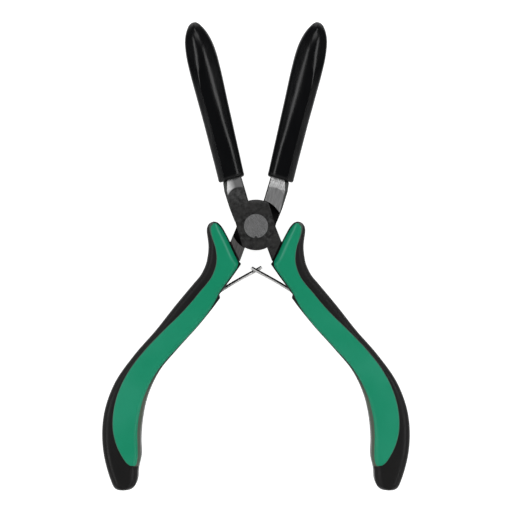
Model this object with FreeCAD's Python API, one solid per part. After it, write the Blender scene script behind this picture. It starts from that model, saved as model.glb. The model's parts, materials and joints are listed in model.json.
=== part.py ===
# Flat nose jewellery pliers with slip-on jaw sleeves, a lap joint and a double leaf spring.
#
# Everything is modelled around the pivot, in millimetres, lying flat: X across the tool, Y towards the
# jaw tips, Z up out of the table, with the middle of the tool's thickness at Z = 0. The last step moves
# the whole tool so that the origin is at the bottom centre of its box.
#
# The tool is drawn open, at rest. The upper half holds the left jaw and the right handle. The lower
# half is the same forging turned over, so it holds the right jaw and the left handle.

import FreeCAD, Part
from FreeCAD import Vector

import math
import os

# Opening angles, each half measured from the closed position, in degrees.
STEEL_OPEN = 16.5
SLEEVE_OPEN = 12.4

# Lap joint and rivet.
JOINT_HALF_THICK = 4.5
LAP_GAP = 0.03
BAR_HALF_WIDTH = 5.4
DISC_R_JAW = 7.65
DISC_R_HANDLE = 7.0
SHOULDER_GAP = 0.15
RIVET_HEAD_R = 3.55
RIVET_HEAD_DEPTH = 1.6
RIVET_PROUD = 0.15
RIVET_SHANK_R = 2.5
RUNNING_GAP = 0.05
RIVET_CHAMFER = 0.12
STAKE_MARK_R = 0.45
STAKE_MARK_DEPTH = 0.35
STAKE_MARK_INSET = 0.2

# Jaw sections in the closed frame: (distance from the pivot, outer width, half thickness, outer bevel).
JAW_FACE_GAP = 0.02
JAW_INNER_BEVEL = 0.3
JAW_SECTIONS = (
    (3.0, 5.5, JOINT_HALF_THICK, 0.3),
    (7.0, 5.85, JOINT_HALF_THICK, 0.35),
    (12.1, 5.95, JOINT_HALF_THICK, 0.8),
    (14.6, 5.6, 3.9, 1.25),
    (15.6, 4.95, 3.6, 1.25),
    (54.0, 2.5, 2.25, 0.8),
)

# Sleeve stations in its closed frame: (y, inner x, outer x, half thickness).
SLEEVE_WALL = 0.85
SLEEVE_SECTIONS = (
    (15.5, 0.15, 7.75, 4.85),
    (28.0, 0.15, 8.20, 4.65),
    (41.0, 0.20, 8.95, 4.50),
    (50.0, 0.30, 9.25, 4.40),
    (55.5, 0.95, 8.85, 3.85),
    (59.3, 2.20, 7.75, 2.70),
    (61.4, 3.90, 6.10, 1.20),
)
SLEEVE_CORNER = 0.2
SLEEVE_ROUND = 0.5
CAVITY_SECTIONS = 5

# Grip.
GRIP_HALF_THICK = 6.3
BODY_RECESS = 0.12
PANEL_DEPTH = 2.2
GRIP_EDGE = 1.3
PANEL_EDGE = 0.5

# The channel is the straight inner edge from the grip's nose to the step, where the leaf comes out.
# Places in it are given as (distance along from the nose, depth into the grip).
GRIP_TIP = Vector(4.3, -10.75, 0)
CHANNEL_STEP = Vector(10.3, -20.5, 0)
CHANNEL_ALONG = (CHANNEL_STEP - GRIP_TIP).normalize()
CHANNEL_INWARD = Vector(-CHANNEL_ALONG.y, CHANNEL_ALONG.x, 0)
CHANNEL_HALF_THICK = 3.9
CHANNEL_START = 0.9
CHANNEL_END = 11.2
PANEL_TIP_DEPTH = 0.35

GRIP_OUTER = ((12.0, 1.3), (14.2, -1.2), (13.75, -6.0), (14.5, -11.0), (17.3, -15.7), (22.3, -21.6),
              (30.7, -31.9), (39.2, -42.3), (43.5, -52.3), (44.4, -61.0), (43.0, -70.2), (41.5, -74.8))
GRIP_END = ((41.5, -74.8), (38.4, -76.4), (34.9, -74.6))
GRIP_INNER = ((34.9, -74.6), (33.5, -67.0), (33.2, -58.0), (31.2, -48.7), (27.6, -41.2),
              (19.6, -32.0), (10.7, -21.2))
GRIP_LOBE = ((7.45, -4.0), (8.6, -1.2), (12.0, 1.3))

PANEL_OUTER = ((11.7, 0.6), (12.7, -1.2), (11.45, -6.4), (11.6, -11.0), (17.6, -20.3), (25.0, -28.4),
               (34.6, -38.8), (40.2, -49.3), (41.2, -58.5), (38.2, -66.7), (35.4, -69.0))
PANEL_INNER = ((35.4, -69.0), (33.9, -65.5), (33.6, -58.0), (31.6, -48.6), (28.0, -41.0),
               (20.0, -31.6), (10.75, -20.5))
PANEL_LOBE = ((7.95, -4.4), (9.1, -1.4), (11.7, 0.6))

# Leaf spring. The bend sits inside the grip's channel, LEAF_DEPTH below the grip's inner edge.
LEAF_THICK = 0.7
LEAF_HALF_WIDTH = 3.0
LEAF_CROSSING_Y = -12.2
LEAF_LENGTH = 12.4
LEAF_ANGLE = 31.5
LEAF_ROOT_LENGTH = 5.0
LEAF_KNUCKLE_GAP = 0.03
SLOT_BEFORE = 1.15
SLOT_AFTER = 0.8
SLOT_HALF_WIDTH = 1.7
SLOT_END_BAR = 0.6
TONGUE_HALF_WIDTH = 1.35
TONGUE_SHOULDER = 0.85
TONGUE_REACH = 1.9
LEAF_RIVET_ALONG = 2.9
LEAF_RIVET_R = 0.8
LEAF_RIVET_HEAD_R = 1.3
LEAF_RIVET_HEAD = 0.45
LEAF_RIVET_LENGTH = 2.4

# Right arm. The first three corners are in the closed frame, the two at the grip in the open position.
ARM_OUTER_START = (BAR_HALF_WIDTH, -2.0)
ARM_INNER_START = (1.2, -4.0)
ARM_THROAT = (1.35, -7.2)
ARM_INNER_END = Vector(4.65, -10.05, 0)
ARM_OUTER_END = Vector(7.3, -4.3, 0)

# Tang: the flat steel inside the grip, drawn along its outer and inner sides in the open position.
TANG_HALF_THICK = 3.2
TANG_WIDTH = 3.9
TANG_SHOULDER = Vector(8.6, -6.2, 0)
TANG_ELBOW = Vector(10.9, -12.3, 0)
TANG_FACE_START = 1.5
TANG_FACE_END = 16.0
TANG_OUTER = ((22.0, -25.5), (29.4, -34.2), (35.4, -41.7), (39.4, -50.6), (40.7, -59.0), (40.2, -66.0))
TANG_INNER = ((37.2, -66.0), (37.4, -59.0), (35.6, -51.6), (31.8, -43.8), (25.9, -36.2), (18.2, -27.6))

AXIS_Z = Vector(0, 0, 1)
ORIGIN = Vector(0, 0, 0)

# How far cutting shapes reach past the faces they cut, and how near a face must be to a height.
OVERCUT = 1.0
NEAR = 1e-3


def points(pairs):
    """Vectors from (x, y) pairs."""
    return [Vector(x, y, 0) for x, y in pairs]


def spline(pairs):
    """A smooth edge through (x, y) pairs."""
    curve = Part.BSplineCurve()
    curve.interpolate(points(pairs))
    return curve.toShape()


def line(a, b):
    return Part.LineSegment(a, b).toShape()


def prism(edges, z_low, z_high):
    """A solid on a closed outline, between two heights."""
    wire = Part.Wire(Part.__sortEdges__(edges))
    face = Part.Face(wire)
    face.translate(Vector(0, 0, z_low))
    return face.extrude(Vector(0, 0, z_high - z_low))


def flat(vectors):
    """The (x, y) pairs of some vectors."""
    return [(v.x, v.y) for v in vectors]


def polygon_prism(pairs, z_low, z_high):
    corners = points(pairs)
    edges = [line(a, b) for a, b in zip(corners, corners[1:] + corners[:1])]
    return prism(edges, z_low, z_high)


def cylinder(radius, z_low, z_high, x=0.0, y=0.0):
    return Part.makeCylinder(radius, z_high - z_low, Vector(x, y, z_low), AXIS_Z)


def box_between(low, high):
    size = [b - a for a, b in zip(low, high)]
    return Part.makeBox(*size, Vector(*low))


def turned(shape, degrees):
    """A copy turned about the pivot, anticlockwise seen from above."""
    copy = shape.copy()
    copy.rotate(ORIGIN, AXIS_Z, degrees)
    return copy


def turned_over(shape):
    """A copy turned over about the tool's long axis, which swaps left and right, and up and down."""
    copy = shape.copy()
    copy.rotate(ORIGIN, Vector(0, 1, 0), 180)
    return copy


def mirrored(shape):
    """A copy mirrored from the right side of the tool to the left."""
    return shape.mirror(ORIGIN, Vector(1, 0, 0))


# --- Steel halves -------------------------------------------------------------------------------------


def jaw_section(y, width, half_thick, bevel):
    """The left jaw's eight-sided section at a distance from the pivot, flat on its gripping side."""
    inner = -JAW_FACE_GAP
    near = JAW_INNER_BEVEL
    corners = [
        (inner, half_thick - near), (inner - near, half_thick),
        (bevel - width, half_thick), (-width, half_thick - bevel),
        (-width, bevel - half_thick), (bevel - width, -half_thick),
        (inner - near, -half_thick), (inner, near - half_thick),
    ]
    ring = [Vector(x, y, z) for x, z in corners]
    return Part.makePolygon(ring + ring[:1])


def jaw():
    """The left jaw with its arm, in the closed frame."""
    return Part.makeLoft([jaw_section(*row) for row in JAW_SECTIONS], True, True)


def lap_plate():
    """The half-thickness plate around the rivet, in the closed frame."""
    low, high = LAP_GAP, JOINT_HALF_THICK
    reach = DISC_R_JAW + OVERCUT
    jaw_side = cylinder(DISC_R_JAW, low, high).common(
        box_between((-BAR_HALF_WIDTH, 0, low), (BAR_HALF_WIDTH, reach, high)))
    handle_side = cylinder(DISC_R_HANDLE, low, high).common(
        box_between((-BAR_HALF_WIDTH, -reach, low), (BAR_HALF_WIDTH, 0, high)))
    return jaw_side.fuse(handle_side)


def along_channel(distance, depth):
    """A point measured along the grip's channel from the nose, and into the grip."""
    return GRIP_TIP + CHANNEL_ALONG * distance + CHANNEL_INWARD * depth


def handle_arm():
    """The right arm from the lap joint to the grip, at full thickness, in the open position."""
    near_joint = (ARM_OUTER_START, ARM_INNER_START, ARM_THROAT)
    corners = [turned(Part.Vertex(x, y, 0), STEEL_OPEN).Point for x, y in near_joint]
    corners += [ARM_INNER_END, ARM_OUTER_END]
    return polygon_prism(flat(corners), -JOINT_HALF_THICK, JOINT_HALF_THICK)


def tang_face_depth():
    """How deep the tang's inner face lies below the grip's inner edge, at the channel."""
    return leaf_bend_depth() + LEAF_THICK / 2


def tang():
    """The flat steel inside the right grip."""
    near = along_channel(TANG_FACE_START, tang_face_depth())
    far = along_channel(TANG_FACE_END, tang_face_depth())
    far_outer = along_channel(TANG_FACE_END, tang_face_depth() + TANG_WIDTH)
    inner_side, outer_side = points(TANG_INNER), points(TANG_OUTER)
    corners = [outer_side[0], far_outer, TANG_ELBOW, TANG_SHOULDER, ARM_OUTER_END, ARM_INNER_END, near, far,
               inner_side[-1]]
    edges = [line(a, b) for a, b in zip(corners, corners[1:])]
    edges += [spline(TANG_INNER), line(inner_side[0], outer_side[-1]), spline(TANG_OUTER)]
    return prism(edges, -TANG_HALF_THICK, TANG_HALF_THICK)


def rivet_space(extra):
    """The rivet's own solid, grown sideways by a running gap."""
    top = JOINT_HALF_THICK + RIVET_PROUD
    bottom = JOINT_HALF_THICK - RIVET_HEAD_DEPTH
    shank = cylinder(RIVET_SHANK_R + extra, -bottom, bottom)
    upper = cylinder(RIVET_HEAD_R + extra, bottom - extra, top)
    lower = cylinder(RIVET_HEAD_R + extra, -top, extra - bottom)
    return shank.fuse([upper, lower])


def pivot_rivet():
    """The rivet with two flat heads, let into the steel, with a stake mark on the upper one."""
    top = JOINT_HALF_THICK + RIVET_PROUD
    mark = cylinder(STAKE_MARK_R, top - STAKE_MARK_DEPTH, top + OVERCUT, 0, STAKE_MARK_INSET - RIVET_HEAD_R)
    body = rivet_space(0).cut(mark)
    rims = [e for e in body.Edges
            if isinstance(e.Curve, Part.Circle) and abs(e.Curve.Radius - RIVET_HEAD_R) < NEAR
            and abs(abs(e.CenterOfMass.z) - top) < NEAR]
    return body.makeChamfer(RIVET_CHAMFER, rims).removeSplitter()


def steel_half():
    """The upper half: left jaw, lap plate, right arm and tang, in the open position."""
    below = -JOINT_HALF_THICK - OVERCUT
    jaw_arm = jaw().cut(cylinder(DISC_R_JAW + SHOULDER_GAP, below, LAP_GAP))
    jaw_side = turned(jaw_arm.fuse(lap_plate()), STEEL_OPEN)
    arm = handle_arm().cut(cylinder(DISC_R_HANDLE + SHOULDER_GAP, below, LAP_GAP))
    whole = jaw_side.fuse([arm, tang()]).removeSplitter()
    return whole.cut(leaf_rivet_shape())


# --- Leaf springs -------------------------------------------------------------------------------------


def leaf_direction():
    """From the right leaf's bend towards the crossing."""
    angle = math.radians(180 - LEAF_ANGLE)
    return Vector(math.cos(angle), math.sin(angle), 0)


def leaf_bend():
    """Where the right leaf bends, on its middle line."""
    return Vector(0, LEAF_CROSSING_Y, 0) - leaf_direction() * LEAF_LENGTH


def leaf_bend_depth():
    return (leaf_bend() - GRIP_TIP).dot(CHANNEL_INWARD)


def strip(start, direction, length, thickness, half_width):
    """A flat strip that stands on edge: its middle line in the XY plane, its width along Z."""
    side = Vector(-direction.y, direction.x, 0) * (thickness / 2)
    a, b = start, start + direction * length
    corners = [a + side, b + side, b - side, a - side]
    return polygon_prism(flat(corners), -half_width, half_width)


def knuckle(radius, half_width):
    """A round bar along the leaf's bend."""
    bend = leaf_bend()
    return cylinder(radius, -half_width, half_width, bend.x, bend.y)


def slotted_blade():
    """The right leaf: a full-width blade with a slot across its crossing point."""
    bend, way = leaf_bend(), leaf_direction()
    length = LEAF_LENGTH + SLOT_AFTER + SLOT_END_BAR
    blade = strip(bend, way, length, LEAF_THICK, LEAF_HALF_WIDTH)
    slot = strip(bend + way * (LEAF_LENGTH - SLOT_BEFORE), way, SLOT_BEFORE + SLOT_AFTER,
                 LEAF_THICK + OVERCUT, SLOT_HALF_WIDTH)
    return blade.fuse(knuckle(LEAF_THICK / 2, LEAF_HALF_WIDTH)).cut(slot).removeSplitter()


def tongued_blade():
    """The left leaf, drawn on the right: a blade that narrows to a tongue for the other leaf's slot."""
    bend, way = leaf_bend(), leaf_direction()
    blade = strip(bend, way, LEAF_LENGTH - TONGUE_SHOULDER, LEAF_THICK, LEAF_HALF_WIDTH)
    tongue = strip(bend, way, LEAF_LENGTH + TONGUE_REACH, LEAF_THICK, TONGUE_HALF_WIDTH)
    return blade.fuse([tongue, knuckle(LEAF_THICK / 2, LEAF_HALF_WIDTH)]).removeSplitter()


def leaf_root():
    """The leaf's foot, flat on the tang beyond the bend, with a hollow end for the bend's knuckle."""
    foot = strip(leaf_bend(), CHANNEL_ALONG, LEAF_ROOT_LENGTH, LEAF_THICK, LEAF_HALF_WIDTH)
    hollow = knuckle(LEAF_THICK / 2 + LEAF_KNUCKLE_GAP, LEAF_HALF_WIDTH + OVERCUT)
    return foot.cut(hollow).cut(leaf_rivet_shape())


def leaf_rivet_shape():
    """The small rivet through the leaf's foot into the tang."""
    surface = leaf_bend() + CHANNEL_ALONG * LEAF_RIVET_ALONG - CHANNEL_INWARD * (LEAF_THICK / 2)
    shank = Part.makeCylinder(LEAF_RIVET_R, LEAF_RIVET_LENGTH, surface, CHANNEL_INWARD)
    head = Part.makeCylinder(LEAF_RIVET_HEAD_R, LEAF_RIVET_HEAD, surface, CHANNEL_INWARD * -1)
    return shank.fuse(head)


# --- Grips --------------------------------------------------------------------------------------------


def grip_outline():
    return [
        spline(GRIP_OUTER),
        spline(GRIP_END),
        spline(GRIP_INNER),
        line(Vector(*GRIP_INNER[-1], 0), CHANNEL_STEP),
        line(CHANNEL_STEP, GRIP_TIP),
        line(GRIP_TIP, Vector(*GRIP_LOBE[0], 0)),
        spline(GRIP_LOBE),
    ]


def panel_outline():
    tip = along_channel(CHANNEL_START, PANEL_TIP_DEPTH)
    return [
        spline(PANEL_OUTER),
        spline(PANEL_INNER),
        line(Vector(*PANEL_INNER[-1], 0), tip),
        line(tip, Vector(*PANEL_LOBE[0], 0)),
        spline(PANEL_LOBE),
    ]


def rim_edges(shape, height):
    """The outline edges of a flat solid at a height."""
    return [e for e in shape.Edges
            if abs(e.BoundBox.ZMin - height) < NEAR and abs(e.BoundBox.ZMax - height) < NEAR]


def inlay(rear):
    """A coloured panel set into the grip's face, on the upper or the lower side."""
    panel = prism(panel_outline(), GRIP_HALF_THICK - PANEL_DEPTH, GRIP_HALF_THICK)
    panel = panel.makeFillet(PANEL_EDGE, rim_edges(panel, GRIP_HALF_THICK))
    return turned_over(mirrored(panel)) if rear else panel


def grip_body(steel, small_parts):
    """The dark moulded body of the right grip, with pockets for its panels, steel and spring foot."""
    top = GRIP_HALF_THICK - BODY_RECESS
    body = prism(grip_outline(), -top, top)
    body = body.makeFillet(GRIP_EDGE, rim_edges(body, top) + rim_edges(body, -top))
    pocket = prism(panel_outline(), GRIP_HALF_THICK - PANEL_DEPTH, GRIP_HALF_THICK + OVERCUT)
    mouth = [along_channel(CHANNEL_START, -OVERCUT), along_channel(CHANNEL_END, -OVERCUT),
             along_channel(CHANNEL_END, tang_face_depth()), along_channel(CHANNEL_START, tang_face_depth())]
    channel = polygon_prism(flat(mouth), -CHANNEL_HALF_THICK, CHANNEL_HALF_THICK)
    body = body.cut([pocket, turned_over(mirrored(pocket)), channel])
    return body.cut([steel] + small_parts)


# --- Jaw sleeves --------------------------------------------------------------------------------------


def sleeve_ring(y, inner, outer, half_thick, shrink):
    """The left sleeve's D-shaped section: a flat inner side with round corners, a round outer side."""
    right = -inner - shrink
    left = -outer + shrink
    top = half_thick - shrink
    corner = SLEEVE_CORNER * (right - left)
    shoulder = left + SLEEVE_ROUND * (right - left)
    bend = corner * (1 - math.sqrt(0.5))

    def at(x, z):
        return Vector(x, y, z)

    edges = [
        line(at(right, corner - top), at(right, top - corner)),
        Part.Arc(at(right, top - corner), at(right - bend, top - bend), at(right - corner, top)).toShape(),
        line(at(right - corner, top), at(shoulder, top)),
        Part.Arc(at(shoulder, top), at(left, 0), at(shoulder, -top)).toShape(),
        line(at(shoulder, -top), at(right - corner, -top)),
        Part.Arc(at(right - corner, -top), at(right - bend, bend - top), at(right, corner - top)).toShape(),
    ]
    return Part.Wire(edges)


def sleeve():
    """The left jaw's slip-on sleeve: a closed bulb end, open at the mouth, in its closed frame."""
    outside = Part.makeLoft([sleeve_ring(*row, 0) for row in SLEEVE_SECTIONS], True, False)
    mouth, *rest = SLEEVE_SECTIONS[:CAVITY_SECTIONS]
    rings = [sleeve_ring(mouth[0] - OVERCUT, *mouth[1:], SLEEVE_WALL)]
    rings += [sleeve_ring(*row, SLEEVE_WALL) for row in rest]
    return outside.cut(Part.makeLoft(rings, True, False))


def build():
    """Every node's solid, around the pivot."""
    upper_half = steel_half()
    lower_half = turned_over(upper_half)
    upper_half = upper_half.cut(rivet_space(RUNNING_GAP))
    lower_half = lower_half.cut(rivet_space(0))
    leaf_rivet = leaf_rivet_shape()
    root = leaf_root()
    body = grip_body(steel_half(), [root, leaf_rivet])
    left_sleeve = turned(sleeve(), SLEEVE_OPEN)
    return {
        "upper_half_steel": upper_half,
        "lower_half_steel": lower_half,
        "pivot_rivet": pivot_rivet(),
        "right_grip_body": body,
        "right_grip_front_inlay": inlay(False),
        "right_grip_rear_inlay": inlay(True),
        "left_grip_body": mirrored(body),
        "left_grip_front_inlay": mirrored(inlay(False)),
        "left_grip_rear_inlay": mirrored(inlay(True)),
        "right_leaf_spring_root": root,
        "left_leaf_spring_root": mirrored(root),
        "right_leaf_spring_blade": slotted_blade(),
        "left_leaf_spring_blade": mirrored(tongued_blade()),
        "right_leaf_rivet": leaf_rivet,
        "left_leaf_rivet": mirrored(leaf_rivet),
        "left_jaw_sleeve": left_sleeve,
        "right_jaw_sleeve": mirrored(left_sleeve),
    }


def main():
    parts = build()
    bounds = Part.makeCompound(list(parts.values())).optimalBoundingBox(False)
    shift = Vector(0, -(bounds.YMin + bounds.YMax) / 2, -bounds.ZMin)
    os.makedirs("parts", exist_ok=True)
    for name, shape in parts.items():
        solid = shape.Solids[0] if len(shape.Solids) == 1 else shape
        solid.translate(shift)
        solid.exportStep("parts/" + name + ".step")
        print(name, len(shape.Solids), shape.isValid(), round(shape.Volume, 2))
    bend = leaf_bend() + shift
    print("size", round(bounds.XLength, 3), round(bounds.YLength, 3), round(bounds.ZLength, 3))
    print("pivot", round(shift.x, 4), round(shift.y, 4), round(shift.z, 4))
    print("right leaf bend", round(bend.x, 4), round(bend.y, 4), "depth", round(leaf_bend_depth(), 3))


main()
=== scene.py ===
"""The looks of the flat nose pliers: sleeves, grips and leaf springs as meshes around the CAD steel.

Shapes are worked out in millimetres around the pivot (x to the right, y towards the jaw tips, z up from
the middle of the tool's thickness) and placed in the frame, in metres, by place().
"""

import json
import math

import bmesh
import bpy
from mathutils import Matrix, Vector, noise
from mathutils.bvhtree import BVHTree


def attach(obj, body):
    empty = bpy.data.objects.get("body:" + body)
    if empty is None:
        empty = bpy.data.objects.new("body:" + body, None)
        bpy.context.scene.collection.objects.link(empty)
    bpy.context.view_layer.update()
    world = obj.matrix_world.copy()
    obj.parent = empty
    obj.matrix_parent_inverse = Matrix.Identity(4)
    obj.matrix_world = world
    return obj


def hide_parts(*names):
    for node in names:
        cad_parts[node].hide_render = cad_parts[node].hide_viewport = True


MM = 0.001

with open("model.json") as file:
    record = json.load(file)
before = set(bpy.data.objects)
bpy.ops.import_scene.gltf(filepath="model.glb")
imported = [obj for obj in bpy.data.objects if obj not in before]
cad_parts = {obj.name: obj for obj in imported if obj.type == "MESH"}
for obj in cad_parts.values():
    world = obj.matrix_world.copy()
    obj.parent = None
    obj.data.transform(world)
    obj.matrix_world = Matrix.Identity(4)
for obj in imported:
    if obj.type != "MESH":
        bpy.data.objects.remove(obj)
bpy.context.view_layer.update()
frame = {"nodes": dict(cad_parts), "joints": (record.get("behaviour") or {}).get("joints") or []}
JOINTS = {joint["name"]: joint for joint in frame["joints"]}
PIVOT = Vector(JOINTS["main_pivot"]["pos_m"])
SLEEVE_AXIS = Vector(JOINTS["left_sleeve_slide"]["axis"])
LEAF_BEND = (Vector(JOINTS["right_leaf_bend"]["pos_m"]) - PIVOT) / MM

# How far each steel half is turned from the closed position, and the bevel on its edges sharper than
# STEEL_BEVEL_ANGLE.
STEEL_OPEN = math.radians(16.5)
STEEL_BEVEL = 0.14
STEEL_BEVEL_ANGLE = math.radians(35)
# Edges of the made meshes sharper than this are shaded sharp.
SHARP_ANGLE = math.radians(38)

# Camera, in millimetres: the width it sees at the pivot's level, its lens and its sensor.
VIEW_WIDTH = 148.5
LENS = 200
SENSOR = 36

# Grip: half thickness at the palm and at the nose. Down the handle it grows from PALM_START on, over
# PALM_RAMP, and shrinks by END_THINNING from END_START on, over END_RAMP. END_ROUND rounds both ends.
GRIP_THICK = 6.17
GRIP_THIN = 5.55
PALM_START = -6
PALM_RAMP = 22
END_START = -66
END_RAMP = 12
END_THINNING = 0.45
END_ROUND = 1.3
# The right grip's edges as matched points (outer, inner), from the lobe to the end.
GRIP_EDGES = (
    ((12.30, 1.32), (11.70, 1.30)), ((12.95, 1.12), (11.00, 1.00)), ((13.60, 0.65), (10.40, 0.45)),
    ((14.10, -0.25), (9.75, -0.40)), ((14.24, -1.40), (9.00, -1.70)), ((14.00, -3.30), (8.10, -3.40)),
    ((13.75, -5.60), (7.10, -5.50)), ((13.85, -7.80), (6.05, -7.90)), ((14.10, -9.40), (4.95, -10.20)),
    ((14.25, -10.20), (4.35, -10.95)), ((14.45, -10.90), (4.75, -11.60)),
    ((15.10, -12.50), (6.60, -14.30)), ((16.10, -14.30), (8.60, -17.05)),
    ((16.95, -15.35), (10.20, -19.30)), ((17.25, -15.70), (10.65, -19.90)),
    ((17.45, -15.92), (10.50, -20.35)), ((17.65, -16.15), (10.40, -20.80)),
    ((18.20, -16.80), (10.85, -21.45)), ((23.20, -22.80), (16.30, -28.41)),
    ((28.80, -29.90), (22.55, -35.37)), ((35.00, -37.00), (28.25, -42.33)),
    ((41.00, -45.70), (31.45, -49.29)), ((43.85, -54.00), (32.95, -56.25)),
    ((44.40, -60.80), (33.35, -61.47)), ((43.85, -66.40), (33.30, -66.69)),
    ((42.95, -70.20), (34.05, -70.17)), ((41.80, -73.70), (34.40, -73.65)),
    ((41.25, -75.00), (34.90, -74.90)), ((40.60, -75.85), (35.90, -75.85)),
    ((39.90, -76.20), (36.90, -76.20)), ((39.10, -76.30), (37.70, -76.30)),
)
# The right inlay's edges in the same way.
INLAY_EDGES = (
    ((12.30, 1.00), (11.75, 0.98)), ((12.95, 0.78), (11.15, 0.72)), ((13.45, 0.25), (10.65, 0.25)),
    ((13.60, -0.40), (10.15, -0.30)), ((13.35, -1.90), (9.12, -1.90)),
    ((12.75, -3.80), (8.14, -3.72)), ((12.05, -5.80), (7.28, -5.66)),
    ((11.65, -7.90), (6.28, -7.87)), ((11.55, -9.30), (5.20, -10.02)),
    ((11.60, -10.30), (4.95, -10.80)), ((11.75, -11.20), (5.15, -11.57)),
    ((12.25, -12.90), (6.63, -13.90)), ((13.20, -14.90), (8.65, -16.65)),
    ((14.45, -16.60), (10.35, -19.10)), ((14.85, -17.10), (10.78, -19.85)),
    ((15.90, -18.30), (11.25, -20.90)), ((18.95, -22.00), (13.30, -24.40)),
    ((21.40, -24.70), (16.20, -28.20)), ((26.70, -29.90), (22.45, -35.05)),
    ((31.80, -35.20), (28.15, -41.60)), ((35.90, -40.30), (30.80, -46.10)),
    ((38.75, -45.20), (32.20, -49.40)), ((40.55, -50.00), (33.20, -53.00)),
    ((41.40, -54.60), (33.85, -56.80)), ((41.45, -58.30), (34.05, -60.00)),
    ((40.70, -62.20), (34.00, -63.40)), ((38.90, -66.20), (34.00, -66.80)),
    ((37.25, -68.50), (34.45, -68.75)), ((36.10, -69.25), (34.95, -69.35)),
)
# About how far apart the rings along the grip and the inlay are.
ROW_STEP = 0.7
# Bevel widths along the grip's inner and outer edges: (y, width).
INNER_BEVEL = ((1.3, 1.5), (-10.0, 1.5), (-13.5, 0.8), (-42.0, 0.55), (-56.0, 1.35), (-76.4, 1.3))
OUTER_BEVEL = ((1.3, 0.9), (-12.0, 1.1), (-45.0, 1.0), (-60.0, 1.25), (-76.4, 1.2))
# A bevel drops by BEVEL_DROP where it is BEVEL_WIDTH wide. It takes at most BEVEL_SHARE of the grip's width
# and DROP_SHARE of its half thickness.
BEVEL_DROP = 0.85
BEVEL_WIDTH = 1.1
BEVEL_SHARE = 0.3
DROP_SHARE = 0.5
# The face is crowned. The crown fades in up the section's wall, as CROWN_RISE times the share of the half
# thickness reached, less CROWN_START.
CROWN = 0.28
CROWN_RISE = 1.6
CROWN_START = 0.5
# Roundness of the section's corners: wall to inner bevel, inner ridge, outer ridge, outer bevel to wall.
# Each is a curve of GRIP_ROUND_STEPS faces, over at most GRIP_ROUND_SHARE of the runs beside it.
GRIP_ROUNDS = (0.35, 0.8, 0.8, 0.6)
GRIP_ROUND_STEPS = 4
GRIP_ROUND_SHARE = 0.45
# How many faces each straight run of the section is split into, by its place after rounding.
GRIP_SPLITS = {0: 4, 5: 2, 10: 14, 15: 2, 20: 4}

# Inlay: it stands proud of the grip, and rolls down to below the grip's surface over its last INLAY_EDGE.
INLAY_PROUD = 0.12
INLAY_SINK = 0.3
INLAY_EDGE = 0.45
INLAY_DEPTH = 0.5
# How far from the inlay's edge the points on its roll are, each at most INLAY_ROLL_SHARE of the width from
# the one before where the inlay is narrow, and how many parts the rest of its width has.
INLAY_ROLL = (0.0, 0.07, 0.14, 0.24, 0.40, 0.7)
INLAY_ROLL_SHARE = 0.08
INLAY_PARTS = 18
# The grip's surface under the inlay is felt for from this height. A point that misses it moves in steps
# towards the inlay's middle, each FEEL_SHARE of the way.
FEEL_FROM = 20
FEEL_STEPS = 12
FEEL_SHARE = 0.02

# The channel where a leaf comes out of the right grip, between two points of the grip's inner edge: how far
# it reaches before the first, outside the edge and into the grip, and half its width across the thickness.
CHANNEL_NOSE = (4.75, -11.60)
CHANNEL_STEP = (10.65, -19.90)
CHANNEL_BEFORE_NOSE = 0.4
CHANNEL_OUT = 3
CHANNEL_IN = 1.5
CHANNEL_HALF_WIDTH = 3.9

# Sleeve stations: v along the sleeve's slide axis from the pivot, u of its inner edge, u of its outer
# edge, half thickness. u runs across the axis, rising towards the centre line.
SLEEVE_ROWS = (
    (14.8, -0.15, -7.78, 4.75), (22.0, -0.15, -7.98, 4.70), (30.0, -0.15, -8.30, 4.62),
    (40.0, -0.17, -8.80, 4.55), (47.0, -0.22, -9.15, 4.50), (51.5, -0.38, -9.18, 4.36),
    (54.2, -0.72, -9.00, 4.05), (56.7, -1.35, -8.62, 3.50), (58.6, -2.10, -8.00, 2.82),
    (60.1, -2.95, -7.20, 2.05), (61.1, -3.70, -6.40, 1.25), (61.6, -4.35, -5.65, 0.55),
)
# Shape of the sleeve's top: v, the ridge's distance from the inner edge, how round it is and how steeply
# the inner side falls, then the same three for the facet along the outer edge.
SLEEVE_TOP = (
    (15.3, 1.9, 0.8, 0.62, 1.8, 0.05, 0.98), (24.0, 2.3, 0.9, 0.60, 1.8, 0.05, 0.98),
    (33.0, 3.0, 1.2, 0.58, 1.8, 0.05, 0.98), (42.0, 3.8, 2.1, 0.56, 1.8, 0.05, 0.95),
    (47.0, 4.0, 3.0, 0.57, 2.3, 0.6, 0.85), (51.5, 4.0, 3.4, 0.58, 3.1, 2.6, 0.56),
    (62.0, 4.2, 3.4, 0.56, 3.4, 3.0, 0.52),
)
# The ridge and the facet take at most these shares of the sleeve's width, and fall by at most FALL_SHARE of
# its half thickness.
RIDGE_SHARE = 0.42
FACET_SHARE = 0.36
FALL_SHARE = 0.8
# Rounding and splits of the sleeve's section, as for the grip's.
SLEEVE_WALL_ROUND = 0.9
SLEEVE_OUTER_ROUND = 0.6
SLEEVE_ROUND_STEPS = 6
SLEEVE_ROUND_SHARE = 0.5
SLEEVE_SPLITS = {0: 2, 7: 4, 14: 8, 21: 4, 28: 2}
# How many rings the sleeve's outside has, and the power that sets them closer towards the tip.
SLEEVE_RINGS = 90
TIP_CROWDING = 0.9
# The mouth: its rolled rim's length and number of parts, the wall, the hollow from HOLLOW_NEAR to
# HOLLOW_FAR inside, and the mouth's slant, which is nothing at MOUTH_LEVEL_U and fades over MOUTH_FADE.
SLEEVE_MOUTH = SLEEVE_ROWS[0][0]
SLEEVE_RIM = 0.6
RIM_PARTS = 8
SLEEVE_WALL = 0.95
HOLLOW_NEAR = 1.0
HOLLOW_FAR = 6.0
MOUTH_SLANT = 0.05
MOUTH_LEVEL_U = -4
MOUTH_FADE = 8
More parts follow.
